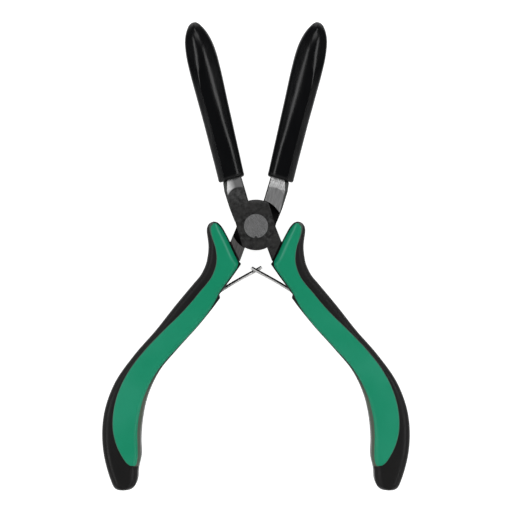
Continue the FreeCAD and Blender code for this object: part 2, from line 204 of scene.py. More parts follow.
# The dipped vinyl: a slight waviness, and a thin drip line along the tip's top and bottom.
WAVE = 0.012
WAVE_PER_MM = (0.18, 0.12, 0.2)
DRIP = 0.22
DRIP_START = 58.0
DRIP_FADE = 2.0
DRIP_WIDTH = 0.35
DRIP_LEAST_Z = 0.2

# The bright facet ground on each jaw beside its sleeve: it starts past an arc, which reaches furthest along
# the jaw at FACET_MIDDLE across it, and it fades out over FACET_BORDER towards the jaw's inner side.
FACET_START = 12.35
FACET_MIDDLE = 2.3
FACET_ARC = 0.17
FACET_BORDER = (-1.0, -0.6)
# Heights from the middle plane between which the looks change: the rivet is ground bright only on its
# faces, with painted dark shade below, and the lower half has painted black shade only in the recess beside
# the disc.
RIVET_FACE = (4.52, 4.60)
RECESS_TOP = (0.3, 0.6)

# Studio, in metres: a long narrow softbox along each side, one behind and one in front, in a dark room.
PANEL_DISTANCE = 1.3
SIDE_TILT = math.radians(40)
SIDE_SIZE = (1.5, 0.36)
SIDE_GLOW = 4.5
END_TILT = math.radians(48)
END_SIZE = (0.9, 0.35)
BACK_GLOW = 3.2
FRONT_GLOW = 1.1
WORLD_GLOW = 0.06
FLOOR_GLOW = 0.96
FLOOR_REACH = 3.0

# Leaf springs: the strip's thickness, the bevel on its edges, about how long its faces are, and its width.
LEAF_THICK = 0.95
LEAF_BEVEL = 0.17
LEAF_CELL = 1.2
LEAF_HALF_WIDTH = 3.0
# From the bend line to where the leaves cross. The slot, its end bar and the tongue are placed from there.
LEAF_LENGTH = 12.1
SLOT_BEFORE = 1.38
SLOT_AFTER = 0.92
SLOT_END_BAR = 0.6
SLOT_HALF_WIDTH = 1.7
TONGUE_HALF_WIDTH = 1.35
TONGUE_SHOULDER = 1.38
TONGUE_REACH = 1.9
# How far the leaf bows along its length, and how far it stands off the tang at its root, which fades to
# nothing where the leaves cross.
LEAF_BOW = -0.12
LEAF_STAND_OFF = 0.16


def place(x, y, z):
    """A point in millimetres around the pivot, in the frame's metres."""
    return PIVOT + Vector((x, y, z)) * MM


# --- Curves and meshes --------------------------------------------------------------------------------


def between(table, x):
    """The value at x in a table of (x, value) rows, rising or falling in x, straight between the rows."""
    rows = sorted(table)
    if x <= rows[0][0]:
        return rows[0][1]
    for (xa, a), (xb, b) in zip(rows, rows[1:]):
        if x <= xb:
            return a + (b - a) * (x - xa) / (xb - xa)
    return rows[-1][1]


def smooth_step(x):
    """0 below 0, 1 above 1, and a smooth rise between."""
    x = min(max(x, 0.0), 1.0)
    return x * x * (3 - 2 * x)


def smooth_at(values, places, i, t):
    """The point t of the way from values[i] to the next, on a smooth curve through values at places."""
    gap = places[i + 1] - places[i]
    slopes = []
    for k in (i, i + 1):
        before, after = max(k - 1, 0), min(k + 1, len(values) - 1)
        if before == k or after == k:
            slopes.append((values[after] - values[before]) / (places[after] - places[before]))
        else:
            near, far = places[k] - places[before], places[after] - places[k]
            slopes.append(((values[k] - values[before]) / near * far
                           + (values[after] - values[k]) / far * near) / (near + far))
    leave = (2 * t ** 3 - 3 * t * t + 1, t ** 3 - 2 * t * t + t)
    arrive = (3 * t * t - 2 * t ** 3, t ** 3 - t * t)
    return (values[i] * leave[0] + slopes[0] * gap * leave[1]
            + values[i + 1] * arrive[0] + slopes[1] * gap * arrive[1])


def lengths_along(points):
    """How far along a polyline each of its points is."""
    places = [0.0]
    for a, b in zip(points, points[1:]):
        places.append(places[-1] + (b - a).length)
    return places


def ladder(edges, step):
    """Rows of (outer, inner) points along two edges given by matched points, about a step apart."""
    sides = [[Vector(pair[k]) for pair in edges] for k in (0, 1)]
    side_places = [lengths_along(side) for side in sides]
    rows = []
    for i in range(len(edges) - 1):
        span = max(places[i + 1] - places[i] for places in side_places)
        count = max(2, math.ceil(span / step))
        for k in range(count):
            share = k / count
            rows.append(tuple(smooth_at(side, places, i, share)
                              for side, places in zip(sides, side_places)))
    rows.append(tuple(side[-1] for side in sides))
    return rows


def rounded(corners, radii, steps, share):
    """A polyline with its inner corners curved, each curve taking at most a share of the runs beside it."""
    line = [corners[0]]
    for before, corner, after, radius in zip(corners, corners[1:], corners[2:], radii):
        into, out = before - corner, after - corner
        reach = min(radius, share * into.length, share * out.length)
        start = corner + into.normalized() * reach
        end = corner + out.normalized() * reach
        for k in range(steps + 1):
            t = k / steps
            line.append(start * (1 - t) ** 2 + corner * 2 * t * (1 - t) + end * t ** 2)
    line.append(corners[-1])
    return line


def split_runs(line, splits):
    """The line's points, with the runs named in splits divided into that many parts."""
    points = []
    for i, (a, b) in enumerate(zip(line, line[1:])):
        pieces = splits.get(i, 1)
        points += [tuple(a.lerp(b, k / pieces)) for k in range(pieces)]
    return points + [tuple(line[-1])]


def ring_mesh(name, rings):
    """A closed mesh through rings of points in metres, with a fan over its first and last ring."""
    width = len(rings[0])
    verts = [p for ring in rings for p in ring]
    faces = []
    for i in range(len(rings) - 1):
        for j in range(width):
            k = (j + 1) % width
            faces.append((i * width + j, i * width + k, (i + 1) * width + k, (i + 1) * width + j))
    for start, flip in ((0, False), ((len(rings) - 1) * width, True)):
        ring = list(range(start, start + width))
        centre = len(verts)
        verts.append(sum((verts[v] for v in ring), Vector()) / width)
        for a, b in zip(ring, ring[1:] + ring[:1]):
            faces.append((b, centre, a) if flip else (a, centre, b))
    mesh = bpy.data.meshes.new(name)
    mesh.from_pydata(verts, [], faces)
    mesh.validate()
    mesh.shade_smooth()
    mesh.set_sharp_from_angle(angle=SHARP_ANGLE)
    return outward(mesh)


def outward(mesh):
    """Turns a closed mesh's faces outward."""
    shape = bmesh.new()
    shape.from_mesh(mesh)
    bmesh.ops.recalc_face_normals(shape, faces=shape.faces)
    shape.to_mesh(mesh)
    shape.free()
    return mesh


def add_object(name, data):
    """A new object in the scene."""
    thing = bpy.data.objects.new(name, data)
    bpy.context.scene.collection.objects.link(thing)
    return thing


def add_piece(name, mesh, material):
    """A new mesh object with its material."""
    mesh.materials.append(material)
    return add_object(name, mesh)


def mirrored(mesh, name, axis):
    """A copy mirrored through the pivot's plane along one axis (0 for x, 2 for z)."""
    copy = mesh.copy()
    copy.name = name
    for vertex in copy.vertices:
        vertex.co[axis] = 2 * PIVOT[axis] - vertex.co[axis]
    copy.flip_normals()
    return copy


def apply_modifiers(thing):
    """Puts the mesh that a made piece's modifiers give in the place of its own."""
    depsgraph = bpy.context.evaluated_depsgraph_get()
    mesh = bpy.data.meshes.new_from_object(thing.evaluated_get(depsgraph))
    thing.modifiers.clear()
    thing.data = mesh


# --- Materials ----------------------------------------------------------------------------------------


class Shader:
    """A material with one Principled shader and short calls for the nodes that feed it."""

    def __init__(self, name, **values):
        self.material = bpy.data.materials.new(name)
        self.material.use_nodes = True
        self.tree = self.material.node_tree
        self.principled = self.tree.nodes["Principled BSDF"]
        for socket, value in values.items():
            self.principled.inputs[socket.replace("_", " ")].default_value = value
        self.coordinates = self.node("ShaderNodeTexCoord").outputs["Object"]

    def node(self, kind, inputs=None, **settings):
        """A new node with its settings made and its inputs fed."""
        made = self.tree.nodes.new(kind)
        for key, value in settings.items():
            setattr(made, key, value)
        for key, value in (inputs or {}).items():
            self.feed(made.inputs[key], value)
        return made

    def feed(self, socket, value):
        """Links an output to a socket, or sets the socket to a plain value."""
        if isinstance(value, bpy.types.NodeSocket):
            self.tree.links.new(value, socket)
        else:
            socket.default_value = value

    def set(self, socket, value):
        """Feeds one input of the Principled shader."""
        self.feed(self.principled.inputs[socket], value)

    def stretched(self, scale, turn=0.0):
        """Coordinates in millimetres around the pivot, turned about Z and scaled on each axis."""
        per_mm = (1 / MM,) * 3
        centred = self.node("ShaderNodeMapping", {0: self.coordinates, 1: -PIVOT / MM, 3: per_mm})
        turned = self.node("ShaderNodeMapping", {0: centred.outputs[0], 2: (0, 0, turn)})
        return self.node("ShaderNodeMapping", {0: turned.outputs[0], 3: scale}).outputs[0]

    def noise(self, per_mm, detail=3.0, rough=0.5, turn=0.0):
        """Cloudy noise from 0 to 1. per_mm is how fine it is, on every axis or as a tuple for each."""
        scale = per_mm if isinstance(per_mm, tuple) else (per_mm,) * 3
        inputs = {"Vector": self.stretched(scale, turn), "Scale": 1.0, "Detail": detail, "Roughness": rough}
        return self.node("ShaderNodeTexNoise", inputs).outputs["Fac"]

    def axis(self, name, turn=0.0):
        """One coordinate in millimetres around the pivot, after a turn about Z."""
        split = self.node("ShaderNodeSeparateXYZ", {0: self.stretched((1, 1, 1), turn)})
        return split.outputs[name]

    def facing(self, name):
        """One part of the surface's own direction, from -1 to 1."""
        normal = self.node("ShaderNodeNewGeometry").outputs["Normal"]
        return self.node("ShaderNodeSeparateXYZ", {0: normal}).outputs[name]

    def facing_out(self):
        """How much the surface faces away from the centre line, from -1 to 1."""
        return self.times(self.facing("X"), self.math("SIGN", self.axis("X")))

    def math(self, operation, a, b=0.0):
        return self.node("ShaderNodeMath", {0: a, 1: b}, operation=operation).outputs[0]

    def times(self, a, b):
        return self.math("MULTIPLY", a, b)

    def size_of(self, value):
        """The value without its sign."""
        return self.math("ABSOLUTE", value)

    def ranged(self, value, low, high, to_low=0.0, to_high=1.0):
        """The value carried from the range low to high to another range, and held at its ends."""
        inputs = {0: value, 1: low, 2: high, 3: to_low, 4: to_high}
        return self.node("ShaderNodeMapRange", inputs).outputs[0]

    def blend(self, factor, a, b):
        """The colour a where the factor is 0 and b where it is 1."""
        made = self.node("ShaderNodeMix", {0: factor}, data_type="RGBA")
        self.feed(made.inputs[6], a)
        self.feed(made.inputs[7], b)
        return made.outputs[2]

    def bump(self, height, depth_mm, strength):
        """Makes the surface look uneven, by a height from 0 to 1 that is depth_mm deep."""
        inputs = {"Height": height, "Strength": strength, "Distance": depth_mm * MM}
        self.set("Normal", self.node("ShaderNodeBump", inputs).outputs[0])


def grey(value, tint=(0, 0, 0)):
    """A grey with a little added to its red, green and blue."""
    return (value + tint[0], value + tint[1], value + tint[2], 1)


# Painted shade: the dark grey of the steel's bevels and walls, standing in for the dark room they reflect.
PAINTED_EDGE_SHADE = grey(0.06, (0, 0.003, 0))


def vinyl():
    """Glossy black with soft smears along the sleeve, duller on its rolled rim."""
    shader = Shader("glossy_black_vinyl", Specular_IOR_Level=0.26)
    smears = shader.noise((0.25, 0.06, 0.25), 4.0, 0.6)
    black = shader.blend(smears, grey(0.0026, (0, 0.0002, 0.0007)), grey(0.0036, (0, 0.0002, 0.0008)))
    shader.set("Base Color", black)
    # The slanted mouth lies nearly square to the steel, so distance along the steel finds the rim.
    sideways = shader.times(shader.size_of(shader.axis("X")), math.sin(STEEL_OPEN))
    upwards = shader.times(shader.axis("Y"), math.cos(STEEL_OPEN))
    along = shader.math("ADD", sideways, upwards)
    gloss = shader.ranged(smears, 0.3, 0.75, 0.10, 0.20)
    dullness = shader.math("MAXIMUM", shader.ranged(along, 16.4, 15.6, 0.0, 0.4), 0.09)
    shader.set("Roughness", shader.math("ADD", gloss, dullness))
    shader.bump(shader.noise((0.6, 0.05, 0.6), 2.0), 0.06, 0.5)
    return shader.material


def black_plastic():
    """Moulded black, with a painted highlight on the bevel along the lower inner edge."""
    shader = Shader("moulded_black_plastic", Specular_IOR_Level=0.25)
    cloud = shader.noise(0.12, 3.0)
    black = shader.blend(cloud, grey(0.0045), grey(0.0075, (0.0008, 0, 0)))
    # Painted highlight: the bevel along the lower inner edge faces inward and slopes, and is made paler as
    # if it caught the light.
    inward = shader.ranged(shader.facing_out(), -0.30, -0.42)
    sloping = shader.ranged(shader.size_of(shader.facing("Z")), 0.25, 0.45)
    below_waist = shader.ranged(shader.axis("Y"), -38.0, -50.0)
    above_end = shader.ranged(shader.axis("Y"), -69.4, -69.0)
    painted_sheen = shader.times(shader.times(inward, sloping), shader.times(below_waist, above_end))
    shader.set("Base Color", shader.blend(painted_sheen, black, (0.105, 0.130, 0.098, 1)))
    shader.set("Roughness", shader.ranged(cloud, 0.3, 0.7, 0.40, 0.54))
    shader.bump(shader.noise(5.0, 2.0), 0.02, 0.5)
    return shader.material


def green_rubber():
    """Moulded green, painted sheen in patches below the nose, a painted highlight on the lobe's ridge,
    painted grey outer roll.
    """
    shader = Shader("moulded_green_rubber", Specular_IOR_Level=0.25)
    cloud = shader.noise(0.08, 3.0)
    green = shader.blend(cloud, (0.001, 0.275, 0.134, 1), (0.003, 0.305, 0.158, 1))
    # Painted sheen: soft patches of paler, greyer green down the grip below the nose stand in for a broad
    # sheen of light.
    patches = shader.ranged(shader.noise(0.06, 2.0), 0.35, 0.6)
    painted_sheen = shader.times(patches, shader.ranged(shader.axis("Y"), -18.0, -34.0))
    green = shader.blend(painted_sheen, green, (0.016, 0.325, 0.180, 1))
    # Painted highlight: paler green on the lobe's slope that faces the centre line, as if that ridge caught
    # the light.
    out = shader.facing_out()
    ridge = shader.times(shader.ranged(out, -0.08, -0.26), shader.ranged(out, -0.46, -0.34))
    lobe = shader.ranged(shader.axis("Y"), -12.0, -8.0, 0.0, 0.6)
    green = shader.blend(shader.times(ridge, lobe), green, (0.080, 0.400, 0.270, 1))
    # Painted grey tone on the inlay's rolled edge where it turns outward, standing in for light caught
    # along that edge.
    rolled = shader.ranged(shader.size_of(shader.facing("Z")), 0.975, 0.90)
    painted_edge_tone = shader.times(rolled, shader.ranged(out, 0.08, 0.20))
    shader.set("Base Color", shader.blend(painted_edge_tone, green, (0.055, 0.095, 0.075, 1)))
    shader.set("Roughness", shader.ranged(cloud, 0.3, 0.7, 0.42, 0.52))
    shader.bump(shader.noise(4.0, 2.0), 0.02, 0.45)
    return shader.material


def facing_up(shader):
    """1 where the steel faces up or down, 0 on its bevels and walls, which take the painted edge shade."""
    return shader.ranged(shader.size_of(shader.facing("Z")), 0.86, 0.94)


def ground_facet(shader, side):
    """1 on the facet ground on a jaw (side -1 left, 1 right), 0 off it."""
    along = shader.axis("Y", side * STEEL_OPEN)
    across = shader.times(shader.axis("X", side * STEEL_OPEN), side)
    off_middle = shader.size_of(shader.math("SUBTRACT", across, FACET_MIDDLE))
    fall = shader.times(shader.math("POWER", off_middle, 2.0), FACET_ARC)
    start = shader.math("SUBTRACT", FACET_START, fall)
    past = shader.ranged(shader.math("SUBTRACT", along, start), -0.15, 0.2)
    return shader.times(past, shader.ranged(across, *FACET_BORDER))


def upper_steel():
    """Mottled, stained blackened steel, paler on the jaw; ground facet with a painted highlight; painted
    shade on edges.
    """
    shader = Shader("blackened_steel", Metallic=0.85)
    mottle = shader.noise(0.9, 6.0, 0.65)
    stain = shader.noise(0.28, 3.0)
    dark = shader.blend(shader.ranged(mottle, 0.38, 0.66), grey(0.017), grey(0.078))
    dark = shader.blend(shader.ranged(stain, 0.35, 0.7), dark, grey(0.052, (0.002, 0.001, 0)))
    jaw = shader.blend(shader.ranged(mottle, 0.38, 0.64), grey(0.050), grey(0.115))
    dark = shader.blend(shader.ranged(shader.axis("Y"), 5.5, 9.0), dark, jaw)
    facet = ground_facet(shader, -1)
    # Painted highlight: the ground facet runs from dark to near white towards the jaw's outer side, as a
    # bright streak of light.
    across = shader.times(shader.axis("X", -STEEL_OPEN), -1.0)
    ground = shader.blend(shader.ranged(across, 2.4, 4.4), grey(0.20), grey(0.95))
    ground = shader.blend(shader.ranged(mottle, 0.35, 0.8, 0.0, 0.4), ground, grey(0.14))
    face = shader.blend(facet, dark, ground)
    # Painted shade on the bevels and walls.
    shader.set("Base Color", shader.blend(facing_up(shader), PAINTED_EDGE_SHADE, face))
    shader.set("Roughness", shader.ranged(mottle, 0.2, 0.8, 0.42, 0.56))
    shader.bump(shader.noise(2.6, 5.0, 0.6), 0.035, 0.5)
    return shader.material


def lower_steel():
    """Steel brushed along the jaw, darker and brown towards the handle, with painted shade in the disc's
    recess and on edges.
    """
    shader = Shader("brushed_steel", Metallic=0.9)
    grain = shader.noise((5.0, 0.25, 5.0), 4.0, 0.6, STEEL_OPEN)
    streaks = shader.ranged(grain, 0.3, 0.7)
    jaw = shader.blend(streaks, grey(0.30), grey(0.54, (0, 0, 0.006)))
    brown = shader.blend(streaks, grey(0.120, (0.006, 0.002, 0)), grey(0.22, (0.010, 0.004, 0)))
    tone = shader.blend(shader.ranged(shader.axis("Y"), -2.0, 0.0), brown, jaw)
    ground = shader.blend(shader.ranged(grain, 0.35, 0.65), grey(0.42), grey(0.86))
    tone = shader.blend(ground_facet(shader, 1), tone, ground)
    # Painted shade on the bevels and walls.
    tone = shader.blend(facing_up(shader), PAINTED_EDGE_SHADE, tone)
    # Painted shade: steel near the middle plane, in the recess beside the disc, is painted black.
    recess = shader.ranged(shader.size_of(shader.axis("Z")), *RECESS_TOP)
    shader.set("Base Color", shader.blend(recess, grey(0.022), tone))
    shader.set("Roughness", shader.ranged(grain, 0.2, 0.8, 0.34, 0.50))
    shader.bump(grain, 0.012, 0.5)
    return shader.material


def rivet_steel():
    """Ground steel on the rivet's faces, and below them painted dark shade: its stake mark and rim, and the
    leaf roots.
    """
    shader = Shader("ground_rivet_steel", Metallic=0.9)
    grain = shader.noise((3.0, 3.0, 3.0), 5.0, 0.7)
    brushed = shader.noise((0.9, 6.0, 1.0), 3.0, 0.6, math.radians(60))
    both = shader.times(shader.math("ADD", grain, brushed), 0.5)
    tone = shader.blend(shader.ranged(both, 0.35, 0.65), grey(0.15), grey(0.33, (0, 0, 0.004)))
    # Painted shade: below its faces the rivet is dark, in its stake mark and on its rim.
    face = shader.ranged(shader.size_of(shader.axis("Z")), *RIVET_FACE)
    shader.set("Base Color", shader.blend(face, grey(0.07), tone))
    shader.set("Roughness", shader.ranged(both, 0.3, 0.7, 0.44, 0.6))
    shader.bump(both, 0.02, 0.4)
    return shader.material


def spring_steel(side):
    """Bright strip steel, with painted shade lines along both sides of the narrow edges that face up and
    down.
    """
    shader = Shader("bright_spring_steel", Metallic=0.75)
    grain = shader.noise((0.6, 0.6, 5.0), 3.0, 0.6)
    bright = shader.blend(grain, grey(0.66, (0.012, 0.006, 0)), grey(0.94, (0.014, 0.008, 0)))
    slope = math.acos(LEAF_BEND.x / LEAF_LENGTH) + math.atan(LEAF_STAND_OFF / LEAF_LENGTH)
    level = leaf_crossing_y() * math.cos(slope)
    across = shader.math("SUBTRACT", shader.axis("Y", side * slope), level)
    # Painted shade: dark lines along both long sides of the narrow edges that face up and down.
    jaw_side = shader.ranged(across, 0.04, 0.12)
    handle_side = shader.ranged(across, -0.32, -0.42)
    on_edge = shader.ranged(shader.size_of(shader.facing("Z")), 0.25, 0.5)
    painted_shade_lines = shader.times(shader.math("MAXIMUM", jaw_side, handle_side), on_edge)
    shader.set("Base Color", shader.blend(painted_shade_lines, bright, grey(0.015)))
    shader.set("Roughness", shader.ranged(grain, 0.2, 0.8, 0.42, 0.55))
    return shader.material


def pale_floor():
    shader = Shader("pale_floor", Specular_IOR_Level=0.2)
    shader.set("Base Color", shader.blend(shader.noise(0.02, 2.0), grey(0.44), grey(0.46)))
    shader.set("Roughness", 0.9)
    shader.set("Emission Color", (1, 1, 1, 1))
    shader.set("Emission Strength", FLOOR_GLOW)
    return shader.material


# --- Sleeves ------------------------------------------------------------------------------------------


def sleeve_row(v):
    """Inner u, outer u and half thickness of the sleeve at a distance along it."""
    places = [row[0] for row in SLEEVE_ROWS]
    last = len(places) - 2
    i = next((k for k in range(last) if v <= places[k + 1]), last)
    t = (v - places[i]) / (places[i + 1] - places[i])
    return [smooth_at([row[column] for row in SLEEVE_ROWS], places, i, t) for column in (1, 2, 3)]


def sleeve_section(v, inner, outer, half_thick):
    """Points (u, z) round the section, with a soft ridge on the inner side and a facet on the outer."""
    width = inner - outer
    places, *columns = zip(*SLEEVE_TOP)
    shape = [between(zip(places, column), v) for column in columns]
    ridge, ridge_round, inner_fall, facet, facet_round, outer_fall = shape
    ridge = min(ridge, RIDGE_SHARE * width)
    facet = min(facet, FACET_SHARE * width)
    inner_drop = min(inner_fall * ridge, FALL_SHARE * half_thick)
    outer_drop = min(outer_fall * facet, FALL_SHARE * half_thick)
    corners = [Vector((inner, 0)), Vector((inner, half_thick - inner_drop)),
               Vector((inner - ridge, half_thick)), Vector((outer + facet, half_thick)),
               Vector((outer, half_thick - outer_drop)), Vector((outer, 0))]
    radii = (SLEEVE_WALL_ROUND, ridge_round, facet_round, SLEEVE_OUTER_ROUND)
    line = rounded(corners, radii, SLEEVE_ROUND_STEPS, SLEEVE_ROUND_SHARE)
    top = split_runs(line, SLEEVE_SPLITS)
    return top + [(u, -z) for u, z in reversed(top[1:-1])]


def sleeve_stations():
    """Places along the sleeve and how far each is set in: the hollow, the rolled rim, then the outside."""
    stations = [(SLEEVE_MOUTH + HOLLOW_FAR, SLEEVE_WALL), (SLEEVE_MOUTH + HOLLOW_NEAR, SLEEVE_WALL)]
    for k in range(RIM_PARTS + 1):
        angle = math.pi * k / RIM_PARTS
        inset = SLEEVE_WALL / 2 * (1 + math.cos(angle))
        stations.append((SLEEVE_MOUTH + SLEEVE_RIM * (1 - math.sin(angle)), inset))
    outside = SLEEVE_ROWS[-1][0] - SLEEVE_MOUTH - SLEEVE_RIM
    for k in range(1, SLEEVE_RINGS + 1):
        share = k / SLEEVE_RINGS
        stations.append((SLEEVE_MOUTH + SLEEVE_RIM + outside * share ** TIP_CROWDING, 0.0))
    return stations


def dipped(u, z, v, middle):
    """A point of the sleeve's section with the waviness and the drip line of dipped vinyl."""
    spot = Vector((u * WAVE_PER_MM[0], v * WAVE_PER_MM[1], z * WAVE_PER_MM[2]))
    wave = 1 + WAVE * noise.noise(spot)
    u = middle + (u - middle) * wave
    z = z * wave
    drip = DRIP * smooth_step((v - DRIP_START) / DRIP_FADE)
    if abs(z) > DRIP_LEAST_Z:
        z += math.copysign(drip * math.exp(-((u - middle) / DRIP_WIDTH) ** 2), z)
    return u, z


def sleeve_mesh(name):
    """The left sleeve, with a rolled rim, a hollow mouth and a bullet tip."""
    across = Vector((SLEEVE_AXIS.y, -SLEEVE_AXIS.x, 0))
    rings = []
    for v, inset in sleeve_stations():
        inner, outer, half_thick = sleeve_row(v)
        middle = (inner + outer) / 2
        fade = smooth_step(1 - (v - SLEEVE_MOUTH) / MOUTH_FADE)
        ring = []
        for u, z in sleeve_section(v, inner - inset, outer + inset, half_thick - inset):
            along = v + MOUTH_SLANT * (u - MOUTH_LEVEL_U) * fade
            u, z = dipped(u, z, v, middle)
            point = across * u + SLEEVE_AXIS * along
            ring.append(place(point.x, point.y, z))
        rings.append(ring)
    return ring_mesh(name, rings)


# --- Grips --------------------------------------------------------------------------------------------


def grip_thickness(y, end_distance):
    """Half thickness, from y and the distance to the nearer end."""
    body = GRIP_THIN + (GRIP_THICK - GRIP_THIN) * smooth_step((PALM_START - y) / PALM_RAMP)
    body -= END_THINNING * smooth_step((END_START - y) / END_RAMP)
    if end_distance < END_ROUND:
        body -= END_ROUND - math.sqrt(END_ROUND ** 2 - (END_ROUND - end_distance) ** 2)
    return body


def grip_section(width, thick, inner_bevel, outer_bevel):
    """Points (s, z) round the grip's section; s runs from the inner edge to the outer edge."""
    inner_bevel = min(inner_bevel, BEVEL_SHARE * width)
    outer_bevel = min(outer_bevel, BEVEL_SHARE * width)
    edge = thick - CROWN
    drop = min(BEVEL_DROP, DROP_SHARE * thick)
    corners = [Vector((0, 0)), Vector((0, edge - drop * inner_bevel / BEVEL_WIDTH)),
               Vector((inner_bevel, edge)), Vector((width - outer_bevel, edge)),
               Vector((width, edge - drop * outer_bevel / BEVEL_WIDTH)), Vector((width, 0))]
    line = rounded(corners, GRIP_ROUNDS, GRIP_ROUND_STEPS, GRIP_ROUND_SHARE)
    ring = []
    for s, z in split_runs(line, GRIP_SPLITS):
        off_middle = 2 * s / width - 1
        fade = smooth_step(z / thick * CROWN_RISE - CROWN_START)
        ring.append((s, z + CROWN * (1 - off_middle ** 2) * fade))
    return ring + [(s, -z) for s, z in reversed(ring[1:-1])]


def grip_rings():
    """Rings of points along the right grip."""
    rows = ladder(GRIP_EDGES, ROW_STEP)
    middles = [((outer + inner) / 2).y for outer, inner in rows]
    rings = []
    for (outer, inner), y in zip(rows, middles):
        thick = grip_thickness(y, min(abs(middles[0] - y), abs(y - middles[-1])))
        way = (outer - inner).normalized()
        section = grip_section((outer - inner).length, thick, between(INNER_BEVEL, inner.y),
                               between(OUTER_BEVEL, outer.y))
        ring = []
        for s, z in section:
            point = inner + way * s
            ring.append(place(point.x, point.y, z))
        rings.append(ring)
    return rings


def cut_channel(thing):
    """Cuts the channel where the leaf spring comes out, along the edge from the nose to the step."""
    nose, step = Vector(CHANNEL_NOSE), Vector(CHANNEL_STEP)
    along = (step - nose).normalized()
    inward = Vector((-along.y, along.x))
    start = nose - along * CHANNEL_BEFORE_NOSE
    corners = [start - inward * CHANNEL_OUT, step - inward * CHANNEL_OUT,
               step + inward * CHANNEL_IN, start + inward * CHANNEL_IN]
    verts = [place(p.x, p.y, z) for z in (-CHANNEL_HALF_WIDTH, CHANNEL_HALF_WIDTH) for p in corners]
    walls = [(k, (k + 1) % 4, (k + 1) % 4 + 4, k + 4) for k in range(4)]
    mesh = bpy.data.meshes.new("channel_cutter")
    mesh.from_pydata(verts, [], [(3, 2, 1, 0), (4, 5, 6, 7)] + walls)
    cutter = add_object("channel_cutter", outward(mesh))
    modifier = thing.modifiers.new("channel", "BOOLEAN")
    modifier.object = cutter
    modifier.operation = "DIFFERENCE"
    modifier.solver = "EXACT"
    bpy.context.view_layer.update()
    apply_modifiers(thing)
    bpy.data.objects.remove(cutter)


def height_on(surface, point, middle):
    """The surface's height above the pivot's level at a point, or else a little nearer the middle."""
    for k in range(FEEL_STEPS):
        spot = point.lerp(middle, k * FEEL_SHARE)
        hit = surface.ray_cast(place(spot.x, spot.y, FEEL_FROM), Vector((0, 0, -1)))[0]
        if hit:
            return (hit.z - PIVOT.z) / MM
    return GRIP_THIN - BEVEL_DROP


def inlay_mesh(name, surface):
    """The right front inlay, which follows the grip's surface and rolls in at its edge."""
    rows = ladder(INLAY_EDGES, ROW_STEP)
    travelled = lengths_along([(outer + inner) / 2 for outer, inner in rows])
    rings = []
    for (outer, inner), done in zip(rows, travelled):
        width = (outer - inner).length
        edge = [min(e, width * INLAY_ROLL_SHARE * k) for k, e in enumerate(INLAY_ROLL)]
        flat = width - 2 * edge[-1]
        inside = [edge[-1] + flat * k / INLAY_PARTS for k in range(1, INLAY_PARTS)]
        top = []
        for s in edge + inside + [width - e for e in reversed(edge)]:
            point = inner.lerp(outer, s / width)
            border = min(s, width - s, done, travelled[-1] - done)
            roll = math.sqrt(1 - (1 - min(border / INLAY_EDGE, 1)) ** 2)
            lift = -INLAY_SINK + (INLAY_PROUD + INLAY_SINK) * roll
            top.append((point.x, point.y, height_on(surface, point, (outer + inner) / 2) + lift))
        ring = top + [(x, y, z - INLAY_DEPTH) for x, y, z in reversed(top)]
        rings.append([place(*point) for point in ring])
    return ring_mesh(name, rings)


# --- Leaf springs -------------------------------------------------------------------------------------


def leaf_crossing_y():
    """Where the two leaves cross on the centre line."""
    return LEAF_BEND.y + math.sqrt(LEAF_LENGTH ** 2 - LEAF_BEND.x ** 2)


def leaf_mesh(name, stations, side):
    """A leaf's middle surface, from stations: the start and end along the leaf, and the bands across it."""
    way = Vector((-LEAF_BEND.x, leaf_crossing_y() - LEAF_BEND.y, 0)).normalized()
    normal = Vector((-way.y, way.x, 0))
    verts, faces, seen = [], [], {}

    def corner(along, z):
        """The number of the vertex at a place on the leaf, made if it isn't there yet."""
        key = (round(along, 4), round(z, 4))
        if key not in seen:
            share = min(along / LEAF_LENGTH, 1)
            bow = LEAF_BOW * math.sin(math.pi * share) + LEAF_STAND_OFF * (1 - share)
            point = LEAF_BEND + way * along + normal * bow
            seen[key] = len(verts)
            verts.append(place(point.x * side, point.y, z))
        return seen[key]

    for start, end, bands in stations:
        count = max(1, round((end - start) / LEAF_CELL))
        for k in range(count):
            near = start + (end - start) * k / count
            far = start + (end - start) * (k + 1) / count
            for low, high in bands:
                faces.append((corner(near, low), corner(far, low), corner(far, high), corner(near, high)))
    mesh = bpy.data.meshes.new(name)
    mesh.from_pydata(verts, [], faces)
    return mesh


def leaf_piece(name, stations, side, material):
    """A leaf with its thickness and rounded edges."""
    thing = add_piece(name, leaf_mesh(name, stations, side), material)
    solid = thing.modifiers.new("thickness", "SOLIDIFY")
    solid.thickness = LEAF_THICK * MM
    solid.offset = 0
    bevel = thing.modifiers.new("edges", "BEVEL")
    bevel.width = LEAF_BEVEL * MM
    bevel.segments = 3
    bevel.limit_method = "ANGLE"
    bevel.harden_normals = True
    apply_modifiers(thing)
    outward(thing.data)
    thing.data.shade_smooth()
    return thing


def bands_across(*edges):
    """The bands between neighbouring edges."""
    return list(zip(edges, edges[1:]))


# --- Putting it together ------------------------------------------------------------------------------


def make_sleeves():
    """The left sleeve and its mirror image."""
    material = vinyl()
    left = sleeve_mesh("left_sleeve_skin")
    for name, mesh, side in (("left_sleeve_skin", left, "left"),
                             ("right_sleeve_skin", mirrored(left, "right_sleeve_skin", 0), "right")):
        piece = add_piece(name, mesh, material)
        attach(piece, side + "_sleeve")
        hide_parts(side + "_jaw_sleeve")


